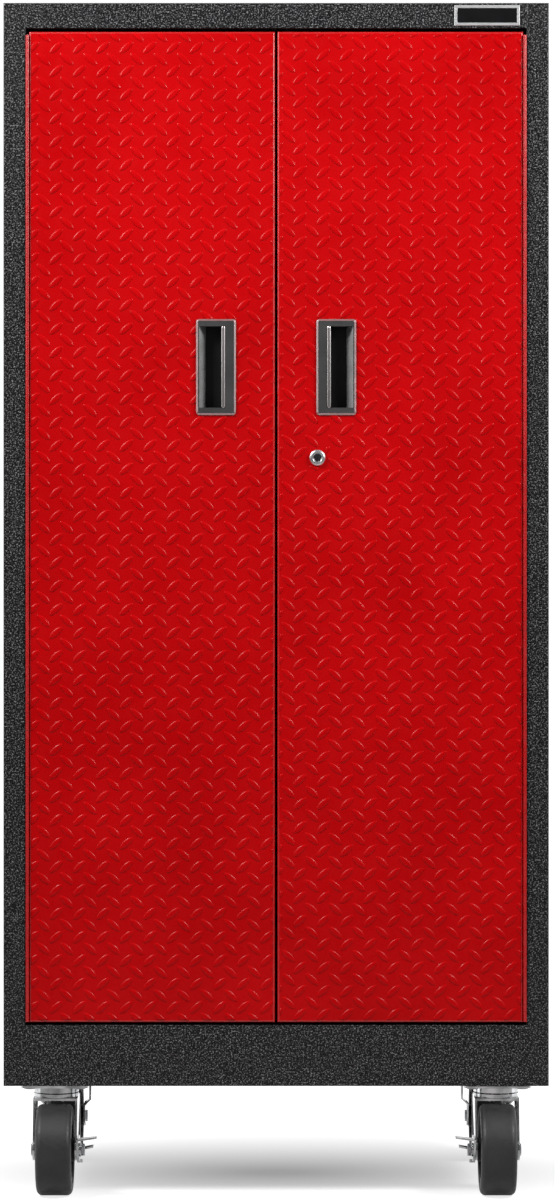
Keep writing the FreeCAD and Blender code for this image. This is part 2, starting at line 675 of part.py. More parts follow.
def pull(name, side):
    """Bevelled rim and a tub; its cavity slopes in and reaches behind the grip."""
    def x(outward):
        return sided(side, f"{pullOut} + ({outward})")

    front = f"({face} - dims.pullProud)"
    halfWide = "dims.pullWidth / 2"
    halfTall = "dims.pullHeight / 2"
    body = newBody(f"pull_{name}")
    pad(body, "y", (front, face), rectangle(
        ordered(x(f"-{halfWide}"), x(halfWide)),
        (f"{pullLevel} - {halfTall}", f"{pullLevel} + {halfTall}")))
    dress(body, "Fillet", lambda edge: edge.YLength > value("dims.pullProud") / 2,
          Radius="dims.pullCorner")
    brow = value(front)
    dress(body, "Chamfer", lambda edge: near(edge.YMin, brow) and near(edge.YMax, brow),
          Size="dims.pullBevel")
    pad(body, "y", (face, f"{face} + dims.pullDepth"), rectangle(
        ordered(x(f"-{tubHalfWidth}"), x(tubHalfWidth)),
        (f"{pullLevel} - {tubHalfHeight}", f"{pullLevel} + {tubHalfHeight}")))
    mouth = (f"{halfWide} - dims.cavityRim - dims.cavityWidth",
             f"{halfWide} - dims.cavityRim")
    deep = f"{face} + dims.pullDepth - dims.pullWall"
    under = f"{front} + dims.gripThickness"
    pocket(body, "z", (f"{pullLevel} - dims.cavityHeight / 2",
                       f"{pullLevel} + dims.cavityHeight / 2"), [
        (x(mouth[0]), front), (x(mouth[1]), front),
        (x(f"{mouth[1]} - dims.cavitySlope"), deep),
        (x(f"-{tubHalfWidth} + dims.pullWall"), deep),
        (x(f"-{tubHalfWidth} + dims.pullWall"), under), (x(mouth[0]), under)])
    lip = value(x(mouth[0]))
    dress(body, "Fillet", lambda edge: isUpright(edge, lip, brow),
          Radius="min(dims.gripRound; dims.gripThickness / 2)")


for sideName, sideSign in sides:
    doorSkin(sideName, sideSign)
    doorLiner(sideName, sideSign)
    pull(sideName, sideSign)

# ------------------------------------------------- lock, keeper and its hook

bezelFront = f"({face} - dims.bezelProud)"
barrelEnd = f"({doorBack} + dims.barrelTail)"
keeperFront = f"({doorBack} + dims.keeperGap)"
camFront = f"({keeperFront} + dims.keeperSheet + dims.camGap)"
camBack = f"({camFront} + dims.camSheet)"
lockSpot = (lockOut, lockLevel)


def lockHousing():
    """Bezel on the door's face and a barrel through skin and liner."""
    body = newBody("lock_housing")
    pad(body, "y", (bezelFront, face), (lockSpot, "dims.bezelDiameter"))
    brow = value(bezelFront)
    dress(body, "Chamfer", lambda edge: near(edge.YMax, brow), Size="dims.bezelBevel")
    pad(body, "y", (face, barrelEnd), (lockSpot, "dims.barrelDiameter"))
    pocket(body, "y", (bezelFront, barrelEnd),
           (lockSpot, "dims.plugDiameter + 2 * dims.plugClearance"))


def lockNut():
    ring = hexagon("y", "dims.lockNutWidth",
                   (doorBack, f"{doorBack} + dims.lockNutHeight"), lockSpot)
    hole = rod("y", "dims.barrelDiameter + 2 * dims.threadClearance",
               (doorBack, f"{doorBack} + dims.lockNutHeight"), lockSpot)
    keep(cut(ring, hole), "lock_nut")


def lockPlug():
    """Plug with a keyway, the collar behind the barrel and the cam's screw."""
    front = f"({bezelFront} + dims.plugInset)"
    core = rod("y", "dims.plugDiameter", (front, camBack), lockSpot)
    collar = rod("y", "dims.collarDiameter",
                 (f"{barrelEnd} + dims.collarGap", camFront), lockSpot)
    keyway = box((f"{lockOut} - dims.keywayWidth / 2", f"{lockOut} + dims.keywayWidth / 2"),
                 (front, f"{front} + dims.keywayDepth"),
                 (f"{lockLevel} - dims.keywayLength / 2",
                  f"{lockLevel} + dims.keywayLength / 2"))
    screw = rod("y", "dims.camScrewHead", (camBack, f"{camBack} + dims.camScrewHeight"),
                lockSpot)
    keep(group(cut(fuse(core, collar), keyway), screw), "lock_plug")


def lockCam():
    """Arm that hangs down while the lock is open."""
    reach = f"({lockLevel} - dims.camLength + dims.camWidth / 2)"
    body = newBody("lock_cam")
    pad(body, "y", (camFront, camBack), (lockSpot, "dims.camHub"))
    pad(body, "y", (camFront, camBack), rectangle(
        (f"{lockOut} - dims.camWidth / 2", f"{lockOut} + dims.camWidth / 2"),
        (reach, lockLevel)))
    pad(body, "y", (camFront, camBack), ((lockOut, reach), "dims.camWidth"))
    pocket(body, "y", (camFront, camBack),
           (lockSpot, "dims.plugDiameter + 2 * dims.threadClearance"))


def lockKeeper():
    """Plate hung from the fixed shelf, in front of the turned cam."""
    right = f"({lockOut} - dims.keeperSideGap)"
    shelfFront = f"({face} + dims.shelfSetback)"
    underside = slotHeightAt(fixedSlot)
    thick = "dims.keeperSheet"
    body = newBody("lock_keeper")
    pad(body, "x", (f"{right} - dims.keeperWidth", right), [
        (keeperFront, f"{lockLevel} - dims.keeperReach"),
        (f"{keeperFront} + {thick}", f"{lockLevel} - dims.keeperReach"),
        (f"{keeperFront} + {thick}", underside),
        (f"{shelfFront} - {thick}", underside), (shelfFront, underside),
        (shelfFront, f"{underside} + dims.keeperFoot"),
        (f"{shelfFront} - {thick}", f"{underside} + dims.keeperFoot"),
        (f"{shelfFront} - {thick}", f"{underside} + {thick}"),
        (keeperFront, f"{underside} + {thick}")])


def camHook():
    """Bracket on the left door, behind the turned cam."""
    inner = f"({doorInner} + dims.hookEdgeInset)"
    thick = "dims.keeperSheet"
    web = f"({lockLevel} + dims.camWidth / 2 + dims.camGap)"
    leg = f"({camBack} + dims.camGap)"
    body = newBody("cam_hook")
    pad(body, "x", (f"-({inner} + dims.hookWidth)", f"-{inner}"), [
        (doorBack, web), (leg, web), (leg, f"{lockLevel} - dims.hookDrop"),
        (f"{leg} + {thick}", f"{lockLevel} - dims.hookDrop"),
        (f"{leg} + {thick}", f"{web} + {thick}"),
        (f"{doorBack} + {thick}", f"{web} + {thick}"),
        (f"{doorBack} + {thick}", f"{web} + dims.hookFoot"),
        (doorBack, f"{web} + dims.hookFoot")])


lockHousing()
lockNut()
lockPlug()
lockCam()
lockKeeper()
camHook()

# -------------------------------------------------- magnetic catches, badge


def catchSpan(side):
    return ordered(sided(side, f"{doorInner} + dims.magnetInset"),
                   sided(side, f"{doorInner} + dims.magnetInset + dims.magnetLength"))


magnetFront = f"({doorBack} + dims.strikeSheet + dims.strikeGap)"
keep(group(*[box(catchSpan(side), (magnetFront, f"{magnetFront} + dims.magnetDepth"),
                 (f"{railBottom} - dims.magnetHeight", railBottom))
             for name, side in sides]), "door_magnets")
for sideName, sideSign in sides:
    strike = box(catchSpan(sideSign), (doorBack, f"{doorBack} + dims.strikeSheet"),
                 (f"{doorTop} - dims.doorFold - dims.magnetHeight",
                  f"{doorTop} - dims.doorFold"))
    keep(strike, f"strike_plate_{sideName}")


def badge():
    """Bare plate in a bevelled border, on the right of the top rail."""
    middle = f"({halfWidth} - dims.badgeSideInset)"
    level = f"({railBottom} + dims.topRailHeight / 2)"

    def plate(border):
        return rectangle((f"{middle} - dims.badgeWidth / 2 + {border}",
                          f"{middle} + dims.badgeWidth / 2 - {border}"),
                         (f"{level} - dims.badgeHeight / 2 + {border}",
                          f"{level} + dims.badgeHeight / 2 - {border}"))

    front = f"({face} - dims.badgeProud)"
    border = newBody("badge_border")
    pad(border, "y", (front, face), plate("0"))
    brow = value(front)
    dress(border, "Chamfer",
          lambda edge: near(edge.YMin, brow) and near(edge.YMax, brow),
          Size="dims.badgeProud / 2")
    pocket(border, "y", (front, face), plate("dims.badgeBorder"))
    inset = newBody("badge_inset")
    pad(inset, "y", (f"{front} + dims.badgeInset", face), plate("dims.badgeBorder"))


badge()

# -------------------------------------------------------- wheels and casters
# Each caster is drawn round its own plate's middle, with the floor at zero.

plateUnderside = f"({mountLevel} - dims.plateSheet)"
axleLevel = "(dims.wheelDiameter / 2)"
slotHalf = "(dims.wheelWidth / 2 + dims.wheelSideGap)"
forkHalf = f"({slotHalf} + dims.forkSheet)"
crownUnderside = "(dims.wheelDiameter + dims.wheelTopGap)"
raceTop = f"({crownUnderside} + dims.forkCrown + dims.lowerRaceHeight)"
ballLevel = f"({raceTop} + dims.racewayGap / 2)"
axleHole = "(dims.axleDiameter + 2 * dims.axleClearance)"
kingpinHole = "(dims.kingpinDiameter + 2 * dims.kingpinClearance)"
axleY = {"front": "(-dims.swivelOffset)", "rear": "0"}


def atCaster(item, side, end):
    place(item, sided(side, casterX[end]), casterY[end], "0")
    return item


def wheel(name, side, end):
    """Rubber tyre round a moulded core with hub, web and rim."""
    halfTyre = "dims.wheelWidth / 2"
    seat = "(dims.wheelDiameter / 2 - dims.tyreThickness)"
    tyre = newBody(f"wheel_{end}_{name}_tyre")
    lathe(tyre, "x", rectangle((f"-{halfTyre}", halfTyre),
                               (seat, "dims.wheelDiameter / 2")))
    edge = value("dims.wheelWidth / 2")
    outside = value("dims.wheelDiameter / 2")
    dress(tyre, "Fillet",
          lambda rim: near(abs(rim.XMin), edge) and near(rim.XMin, rim.XMax)
          and near(rim.ZMax, outside), Radius="dims.treadRadius")
    core = newBody(f"wheel_{end}_{name}_core")
    hub = "dims.hubDiameter / 2"
    hubEnd = f"({slotHalf} - dims.hubGap)"
    web = "dims.webWidth / 2"
    rimEdge = f"({halfTyre} - dims.rimInset)"
    rimInside = f"({seat} - dims.rimWall)"
    lathe(core, "x", [
        (f"-{hubEnd}", f"{axleHole} / 2"), (hubEnd, f"{axleHole} / 2"),
        (hubEnd, hub), (web, hub), (web, rimInside), (rimEdge, rimInside),
        (rimEdge, seat), (f"-{rimEdge}", seat), (f"-{rimEdge}", rimInside),
        (f"-{web}", rimInside), (f"-{web}", hub), (f"-{hubEnd}", hub)])
    for item in (tyre, core):
        place(item, sided(side, casterX[end]), f"{casterY[end]} + {axleY[end]}",
              axleLevel)


def topPlate(body):
    """Caster's top plate with rounded corners and its four bolt holes."""
    halfAcross = "dims.plateWidth / 2"
    halfAlong = "dims.plateDepth / 2"
    pad(body, "z", (plateUnderside, mountLevel),
        rectangle((f"-{halfAcross}", halfAcross), (f"-{halfAlong}", halfAlong)))
    edge = value(halfAcross)
    depth = value(halfAlong)
    dress(body, "Fillet", lambda line: near(abs(line.XMin), edge) and near(
        line.XMin, line.XMax) and near(abs(line.YMin), depth) and near(
        line.YMin, line.YMax), Radius="dims.plateCorner")


def boltHoles(body):
    hole = "dims.boltDiameter + 2 * dims.boltClearance"
    pocket(body, "z", (plateUnderside, mountLevel),
           *[((f"{across} * dims.boltSpacingAcross / 2",
               f"{lengthwise} * dims.boltSpacingAlong / 2"), hole)
             for across, lengthwise in boltRows])


def ballGroove(body):
    sketch = sketchOn(body, "y", "0")
    addCircle(sketch, ("dims.ballCircle / 2", ballLevel),
              "dims.ballDiameter + 2 * dims.ballClearance")
    feature = body.newObject("PartDesign::Groove", "BallGroove")
    feature.Profile = sketch
    feature.ReferenceAxis = (sketch, ["V_Axis"])
    feature.Angle = 360
    body.Tip = feature


def swivelPlate(name, side):
    """Top plate with the upper raceway under it."""
    body = newBody(f"swivel_plate_{name}")
    topPlate(body)
    pad(body, "z", (f"{raceTop} + dims.racewayGap", plateUnderside),
        (("0", "0"), "dims.racewayDiameter"))
    ballGroove(body)
    boltHoles(body)
    pocket(body, "z", (raceTop, mountLevel),
           (("0", "0"), "dims.kingpinDiameter + 2 * dims.threadClearance"))
    atCaster(body, side, "front")


forkShoulderLevel = f"({crownUnderside} - dims.forkShoulder)"
# the legs run into their round ends 30 degrees under the axle's level
legFoot = f"({axleLevel} - dims.forkEnd * sin(30))"
legFootHalf = "(dims.forkEnd * cos(30))"


def axleBore(body, end):
    pocket(body, "x", (f"-{forkHalf}", forkHalf), ((axleY[end], axleLevel), axleHole))


def swivelFork(name, side):
    """Fork with the lower raceway on its crown, turning on the kingpin."""
    hub = axleY["front"]
    crownTop = f"({crownUnderside} + dims.forkCrown)"
    body = newBody(f"swivel_fork_{name}")
    pad(body, "x", (f"-{forkHalf}", forkHalf), [
        ("-dims.forkTopHalf", crownTop), ("dims.forkTopHalf", crownTop),
        ("dims.forkTopHalf", forkShoulderLevel), (f"{hub} + {legFootHalf}", legFoot),
        (f"{hub} - {legFootHalf}", legFoot), ("-dims.forkTopHalf", forkShoulderLevel)])
    pad(body, "x", (f"-{forkHalf}", forkHalf), ((hub, axleLevel), "2 * dims.forkEnd"))
    pocket(body, "y", (f"{hub} - dims.wheelDiameter / 2", "dims.wheelDiameter / 2"),
           rectangle((f"-{slotHalf}", slotHalf), ("0", crownUnderside)))
    axleBore(body, "front")
    pad(body, "z", (crownUnderside, raceTop), (("0", "0"), "dims.racewayDiameter"))
    ballGroove(body)
    pocket(body, "z", (crownUnderside, raceTop), (("0", "0"), kingpinHole))
    atCaster(body, side, "front")


def rigidFork(name, side):
    """Top plate and two legs, which stand wider apart above the wheel's upper half."""
    hub = axleY["rear"]
    bendFoot = f"({axleLevel} + dims.rearForkFlareRise)"
    bendTop = f"({bendFoot} + dims.rearForkBend)"
    body = newBody(f"rigid_fork_{name}")
    topPlate(body)
    for way in (-1, 1):
        def x(outward):
            return sided(way, f"{slotHalf} + ({outward})")

        pad(body, "y", ("-dims.forkTopHalf", "dims.forkTopHalf"), [
            (x("0"), legFoot), (x("dims.forkSheet"), legFoot),
            (x("dims.forkSheet"), bendFoot),
            (x("dims.forkSheet + dims.rearForkFlare"), bendTop),
            (x("dims.forkSheet + dims.rearForkFlare"), plateUnderside),
            (x("dims.rearForkFlare"), plateUnderside), (x("dims.rearForkFlare"), bendTop),
            (x("0"), bendFoot)])
        edge = f"({way} * dims.forkTopHalf)"
        widest = f"({forkHalf} + dims.rearForkFlare)"
        pocket(body, "x", (f"-{widest}", widest), [
            (edge, forkShoulderLevel), (edge, legFoot),
            (f"{hub} + {way} * {legFootHalf}", legFoot)])
    for way in (-1, 1):
        pad(body, "x", ordered(sided(way, slotHalf), sided(way, forkHalf)),
            ((hub, axleLevel), "2 * dims.forkEnd"))
    axleBore(body, "rear")
    boltHoles(body)
    atCaster(body, side, "rear")


def axle(headSide, end, nutFrom):
    """Hexagon bolt through the fork, its head towards the given side."""
    hub = (axleY[end], axleLevel)

    def span(first, second):
        return ordered(sided(-headSide, first), sided(-headSide, second))

    nutEnd = f"({nutFrom} + dims.axleNutHeight)"
    head = hexagon("x", "dims.axleHeadWidth",
                   span(f"-{forkHalf} - dims.axleHeadHeight", f"-{forkHalf}"), hub)
    shank = rod("x", "dims.axleDiameter", span(f"-{forkHalf}", nutEnd), hub)
    nut = hexagon("x", "dims.axleHeadWidth", span(nutFrom, nutEnd), hub)
    hole = rod("x", "dims.axleDiameter + 2 * dims.threadClearance",
               span(nutFrom, nutEnd), hub)
    return group(fuse(head, shank), cut(nut, hole))


brakeStart = f"({forkHalf} + dims.brakeGap)"
brakeHubEnd = f"({brakeStart} + dims.brakeHubLength)"


def brakeLever(name, side):
    """Rocker on the axle: a lock pad in front, a release pad behind and a tail."""
    hub = axleY["front"]

    def x(first, second):
        return ordered(sided(-side, first), sided(-side, second))

    def padSide(front, level):
        return rectangle((front, f"{front} + dims.padLength"),
                         (level, f"{level} + dims.padSheet"))

    def footPad(front, level, reach):
        """A pad for the foot, tilted up towards its end."""
        root = sided(-side, brakeStart)
        tip = sided(-side, f"{brakeStart} + {reach}")
        pad(body, "y", (front, f"{front} + dims.padLength"), [
            (root, level), (tip, f"{level} + dims.padTilt"),
            (tip, f"{level} + dims.padTilt + dims.padSheet"),
            (root, f"{level} + dims.padSheet")])

    lockPadFront = f"({hub} - dims.lockPadFront)"
    lockPadLevel = f"({axleLevel} + dims.lockPadRise)"
    freePadFront = f"({hub} + dims.freePadRear - dims.padLength)"
    freePadLevel = f"({axleLevel} + dims.freePadRise)"
    lockPad = padSide(lockPadFront, lockPadLevel)
    freePad = padSide(freePadFront, freePadLevel)
    tail = padSide(f"({hub} - dims.padLength / 2)", f"({axleLevel} - dims.tailDrop)")
    rocker = [lockPad[3], lockPad[0], tail[0], tail[1], freePad[1], freePad[2],
              (f"{hub} + dims.padLength / 2", f"{lockPadLevel} + dims.padSheet")]
    plate = x(brakeStart, f"{brakeStart} + dims.brakeSheet")
    body = newBody(f"brake_lever_{name}")
    pad(body, "x", plate, rocker)
    pad(body, "x", plate, ((hub, axleLevel), "dims.brakeHub"))
    pad(body, "x", x(brakeStart, brakeHubEnd), ((hub, axleLevel), "dims.brakeBoss"))
    footPad(lockPadFront, lockPadLevel, "dims.lockPadReach")
    footPad(freePadFront, freePadLevel, "dims.freePadReach")
    pad(body, "x", x(brakeStart, f"{brakeStart} + dims.tailReach"), tail)
    pocket(body, "x", x(brakeStart, brakeHubEnd), ((hub, axleLevel), axleHole))
    atCaster(body, side, "front")


def kingpin(side):
    headTop = f"({crownUnderside} - dims.kingpinGap)"
    head = rod("z", "dims.kingpinHead", (f"{headTop} - dims.kingpinHeadHeight", headTop),
               ("0", "0"))
    shank = rod("z", "dims.kingpinDiameter", (headTop, mountLevel), ("0", "0"))
    return atCaster(fuse(head, shank), side, "front")


def ball(side, number):
    item = doc.addObject("Part::Sphere", "Ball")
    item.setExpression("Radius", "dims.ballDiameter / 2")
    turn = f"360 * {number} / {int(value('dims.ballCount'))}"
    place(item, f"{sided(side, casterX['front'])} + dims.ballCircle / 2 * cos({turn})",
          f"{casterY['front']} + dims.ballCircle / 2 * sin({turn})", ballLevel)
    return item


def plateBolt(side, end, row):
    """Bolt up through a caster plate and the channel, with its nut."""
    spot = boltSpot(side, end, *row)
    nutFrom = f"({mountLevel} + dims.channelSheet)"
    nutTo = f"({nutFrom} + dims.boltNutHeight)"
    head = rod("z", "dims.boltHeadDiameter",
               (f"{plateUnderside} - dims.boltHeadHeight", plateUnderside), spot)
    shank = rod("z", "dims.boltDiameter", (plateUnderside, nutTo), spot)
    nut = hexagon("z", "dims.boltNutWidth", (nutFrom, nutTo), spot)
    hole = rod("z", "dims.boltDiameter + 2 * dims.threadClearance", (nutFrom, nutTo),
               spot)
    return [fuse(head, shank), cut(nut, hole)]


for sideName, sideSign in sides:
    for casterEnd in ("front", "rear"):
        wheel(sideName, sideSign, casterEnd)
    swivelPlate(sideName, sideSign)
    swivelFork(sideName, sideSign)
    brakeLever(sideName, sideSign)
    keep(atCaster(axle(sideSign, "front", f"({brakeHubEnd} + dims.brakeGap)"),
                  sideSign, "front"), f"swivel_axle_{sideName}")
    rigidFork(sideName, sideSign)
keep(group(*[atCaster(axle(-side, "rear", forkHalf), side, "rear")
             for name, side in sides]), "rigid_axles")
keep(group(*[kingpin(side) for name, side in sides]), "swivel_kingpins")
keep(group(*[ball(side, number) for name, side in sides
             for number in range(int(value("dims.ballCount")))]), "swivel_balls")
keep(group(*[piece for name, side in sides for end in ("front", "rear")
             for row in boltRows for piece in plateBolt(side, end, row)]),
     "caster_bolts")

# ------------------------------------------------------------ check and write

doc.recompute()
for item in doc.Objects:
    if "Invalid" in item.State or "Error" in item.State:
        raise RuntimeError(f"{item.Label} ({item.Name}) did not compute: {item.State}")

os.makedirs("parts", exist_ok=True)
for item in nodes:
    if item.Shape.isNull() or not item.Shape.isValid():
        raise RuntimeError(f"{item.Label} has no valid shape")
    item.Shape.exportStep(os.path.join("parts", f"{item.Label}.step"))
    print(f"{item.Label}: {len(item.Shape.Solids)} solids, {item.Shape.Volume:.0f} mm3")
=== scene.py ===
import bpy, bmesh, json, math
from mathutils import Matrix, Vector

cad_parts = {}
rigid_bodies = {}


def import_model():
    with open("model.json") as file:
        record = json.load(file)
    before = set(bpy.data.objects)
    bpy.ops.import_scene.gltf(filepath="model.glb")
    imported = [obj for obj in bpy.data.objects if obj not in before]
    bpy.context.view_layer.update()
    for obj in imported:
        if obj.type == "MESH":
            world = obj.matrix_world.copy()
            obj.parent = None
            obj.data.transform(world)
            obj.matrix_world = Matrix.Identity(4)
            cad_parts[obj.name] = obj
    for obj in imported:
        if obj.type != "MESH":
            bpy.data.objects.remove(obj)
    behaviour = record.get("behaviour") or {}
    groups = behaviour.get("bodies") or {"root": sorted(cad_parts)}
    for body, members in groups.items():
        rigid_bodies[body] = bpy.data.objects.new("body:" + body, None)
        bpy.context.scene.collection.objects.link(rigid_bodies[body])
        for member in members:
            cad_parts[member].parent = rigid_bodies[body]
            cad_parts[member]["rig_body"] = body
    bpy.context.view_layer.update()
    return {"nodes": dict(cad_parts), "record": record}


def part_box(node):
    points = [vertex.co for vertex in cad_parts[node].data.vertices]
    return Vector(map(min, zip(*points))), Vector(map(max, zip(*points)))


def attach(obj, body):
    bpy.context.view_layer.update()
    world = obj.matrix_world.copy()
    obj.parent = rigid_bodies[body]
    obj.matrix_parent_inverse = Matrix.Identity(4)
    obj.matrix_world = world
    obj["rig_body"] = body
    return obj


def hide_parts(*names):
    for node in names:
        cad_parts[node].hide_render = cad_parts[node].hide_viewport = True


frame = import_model()
cadNodes = frame["nodes"]
sides = (("left", -1), ("right", 1))
mm = 0.001
print("frame loaded:", len(cadNodes), "nodes")


# materials: every one reads Object coordinates, in metres

def feed(tree, socket, given):
    if isinstance(given, bpy.types.NodeSocket):
        tree.links.new(given, socket)
    else:
        socket.default_value = given


def addNode(tree, kind, settings=None, **inputs):
    made = tree.nodes.new(kind)
    for name, setting in (settings or {}).items():
        setattr(made, name, setting)
    for name, given in inputs.items():
        feed(tree, made.inputs[name.replace("_", " ")], given)
    return made


def compute(tree, operation, *operands, kind="ShaderNodeMath", output=0):
    made = addNode(tree, kind, {"operation": operation})
    for socket, given in zip(made.inputs, operands):
        feed(tree, socket, given)
    return made.outputs[output]


def startMaterial(name, colour, **sockets):
    material = bpy.data.materials.new(name)
    material.use_nodes = True
    tree = material.node_tree
    surface = tree.nodes["Principled BSDF"]
    surface.inputs["Base Color"].default_value = (*colour, 1)
    for socketName, number in sockets.items():
        surface.inputs[socketName.replace("_", " ")].default_value = number
    place = addNode(tree, "ShaderNodeTexCoord").outputs["Object"]
    return material, tree, surface, place


def noiseOf(tree, place, scale, detail=2.0, roughness=0.5, stretch=None):
    if stretch:
        place = addNode(tree, "ShaderNodeMapping", Vector=place, Scale=stretch).outputs[0]
    made = addNode(tree, "ShaderNodeTexNoise", Vector=place, Scale=scale, Detail=detail,
                   Roughness=roughness)
    return made.outputs["Fac"]


def spread(tree, source, low=0.0, high=1.0, fromLow=0.35, fromHigh=0.65):
    made = addNode(tree, "ShaderNodeMapRange", Value=source)
    for socketName, number in (("From Min", fromLow), ("From Max", fromHigh),
                               ("To Min", low), ("To Max", high)):
        made.inputs[socketName].default_value = number
    return made.outputs["Result"]


def blendColours(tree, factor, first, second):
    made = addNode(tree, "ShaderNodeMix", {"data_type": "RGBA"})
    feed(tree, made.inputs[0], factor)
    for index, colour in ((6, first), (7, second)):
        linked = isinstance(colour, bpy.types.NodeSocket)
        feed(tree, made.inputs[index], colour if linked else (*colour, 1))
    return made.outputs[2]


def paint(tree, surface, **givens):
    for name, given in givens.items():
        tree.links.new(given, surface.inputs[name.replace("_", " ")])


def addBump(tree, surface, height, distance, strength):
    made = addNode(tree, "ShaderNodeBump", Height=height, Distance=distance,
                   Strength=strength)
    tree.links.new(made.outputs[0], surface.inputs["Normal"])


def hammeredEnamel():
    look = {"pit": (0.004, 0.004, 0.0042), "ridge": (0.018, 0.018, 0.019),
            "fleck": (0.35, 0.35, 0.36), "cellsPerMetre": 420, "flecksPerMetre": 460,
            "ridgeRange": (0.2, 0.8), "fleckRange": (0.525, 0.72),
            "roughness": (0.27, 0.45), "dimpleDepth": 0.0008}
    material, tree, surface, place = startMaterial(
        "hammeredEnamel", look["pit"], Metallic=0.15, Specular_IOR_Level=0.24)
    cells = addNode(tree, "ShaderNodeTexVoronoi", {"feature": "SMOOTH_F1"}, Vector=place,
                    Scale=look["cellsPerMetre"]).outputs["Distance"]
    drift = noiseOf(tree, place, look["flecksPerMetre"], detail=3.0, roughness=0.62)
    body = blendColours(tree, spread(tree, cells, 0.0, 1.0, *look["ridgeRange"]),
                        look["pit"], look["ridge"])
    flecks = spread(tree, drift, 0.0, 1.0, *look["fleckRange"])
    paint(tree, surface, Base_Color=blendColours(tree, flecks, body, look["fleck"]),
          Roughness=spread(tree, drift, *look["roughness"]))
    addBump(tree, surface, cells, look["dimpleDepth"], strength=0.6)
    return material


def redPowderCoat(name, gloss, coat):
    look = {"deep": (0.47, 0.0008, 0.0020), "bright": (0.54, 0.0016, 0.0030),
            "patchesPerMetre": 7, "mottlePerMetre": 60, "roughness": (0.24, 0.36),
            "orangePeelPerMetre": 900, "peelDepth": 0.00012}
    material, tree, surface, place = startMaterial(
        name, look["bright"], Specular_IOR_Level=gloss, Coat_Weight=coat,
        Coat_Roughness=0.10)
    patches = spread(tree, noiseOf(tree, place, look["patchesPerMetre"], detail=3.0))
    mottle = noiseOf(tree, place, look["mottlePerMetre"], detail=4.0)
    paint(tree, surface,
          Base_Color=blendColours(tree, patches, look["deep"], look["bright"]),
          Roughness=spread(tree, mottle, *look["roughness"]))
    addBump(tree, surface, noiseOf(tree, place, look["orangePeelPerMetre"]),
            look["peelDepth"], strength=0.25)
    return material


def satinCharcoal():
    look = {"dark": (0.03, 0.03, 0.032), "pale": (0.05, 0.05, 0.052),
            "wearPerMetre": 9, "grainPerMetre": 800, "grainDepth": 0.0001}
    material, tree, surface, place = startMaterial(
        "satinCharcoal", look["pale"], Roughness=0.45, Specular_IOR_Level=0.3)
    wear = spread(tree, noiseOf(tree, place, look["wearPerMetre"], detail=5.0))
    paint(tree, surface, Base_Color=blendColours(tree, wear, look["dark"], look["pale"]))
    addBump(tree, surface, noiseOf(tree, place, look["grainPerMetre"]),
            look["grainDepth"], strength=0.3)
    return material


def platedSteel(name, colour, roughness, grainPerMetre, dullness=0.8, ripple=0.00005):
    cloudsPerMetre = 45
    material, tree, surface, place = startMaterial(name, colour, Metallic=1.0)
    clouds = spread(tree, noiseOf(tree, place, cloudsPerMetre, detail=4.0))
    dull = tuple(part * dullness for part in colour)
    grain = noiseOf(tree, place, grainPerMetre, detail=3.0)
    paint(tree, surface, Base_Color=blendColours(tree, clouds, dull, colour),
          Roughness=spread(tree, grain, *roughness))
    addBump(tree, surface, noiseOf(tree, place, grainPerMetre * 3), ripple, strength=0.2)
    return material


def mouldedPlastic(name, colour, roughness, grainPerMetre, grainDepth, gloss=0.3):
    look = {"cloudsPerMetre": 30, "paleness": 1.35, "smoother": 0.06, "rougher": 0.08}
    material, tree, surface, place = startMaterial(name, colour, Specular_IOR_Level=gloss)
    tone = spread(tree, noiseOf(tree, place, look["cloudsPerMetre"], detail=4.0))
    pale = tuple(part * look["paleness"] for part in colour)
    patches = noiseOf(tree, place, grainPerMetre / 4, detail=3.0)
    paint(tree, surface, Base_Color=blendColours(tree, tone, colour, pale),
          Roughness=spread(tree, patches, roughness - look["smoother"],
                           roughness + look["rougher"]))
    addBump(tree, surface, noiseOf(tree, place, grainPerMetre), grainDepth, strength=0.35)
    return material


def brushedAluminium():
    look = {"dark": (0.56, 0.56, 0.57), "pale": (0.70, 0.70, 0.71),
            "strokesPerMetre": 90, "strokeStretch": (0.6, 14, 14),
            "roughness": (0.24, 0.42)}
    material, tree, surface, place = startMaterial(
        "brushedAluminium", look["pale"], Metallic=0.5)
    strokes = noiseOf(tree, place, look["strokesPerMetre"], detail=4.0, roughness=0.6,
                      stretch=look["strokeStretch"])
    tone = blendColours(tree, spread(tree, strokes), look["dark"], look["pale"])
    paint(tree, surface, Roughness=spread(tree, strokes, *look["roughness"]),
          Base_Color=tone)
    return material


